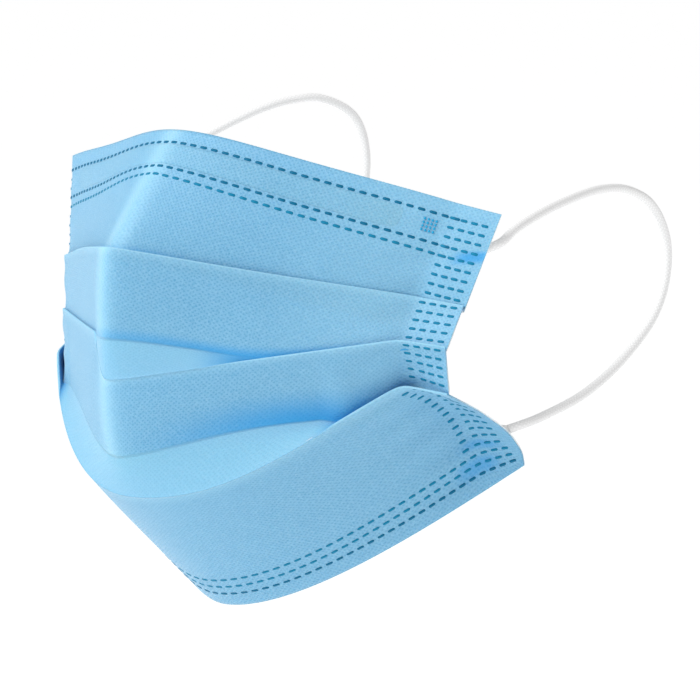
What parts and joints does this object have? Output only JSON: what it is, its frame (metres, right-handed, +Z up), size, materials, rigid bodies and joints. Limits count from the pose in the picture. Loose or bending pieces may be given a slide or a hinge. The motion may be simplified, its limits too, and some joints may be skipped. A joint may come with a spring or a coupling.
{
  "type": "surgical face mask",
  "caption": "Pleated three-ply face mask in its worn form, with a nose strip channel and round elastic ear loops.",
  "frame": {"origin": "middle of the opening at the back of the mask, where the face sits", "axes": "+Z up, the front of the mask looks along -Y, +X towards the wearer's left"},
  "size_m": [0.1532, 0.1419, 0.1231],
  "materials": {
    "blue_nonwoven": "matte embossed spunbond cloth",
    "white_elastic": "fine knitted round elastic"
  },
  "bodies": {
    "root": {"pleated_body": "blue_nonwoven", "nose_strip_channel": "blue_nonwoven", "cord_end_upper_right": "white_elastic", "cord_end_upper_left": "white_elastic", "cord_end_lower_right": "white_elastic", "cord_end_lower_left": "white_elastic", "ear_loop_right": "white_elastic", "ear_loop_left": "white_elastic"}
  },
  "joints": []
}
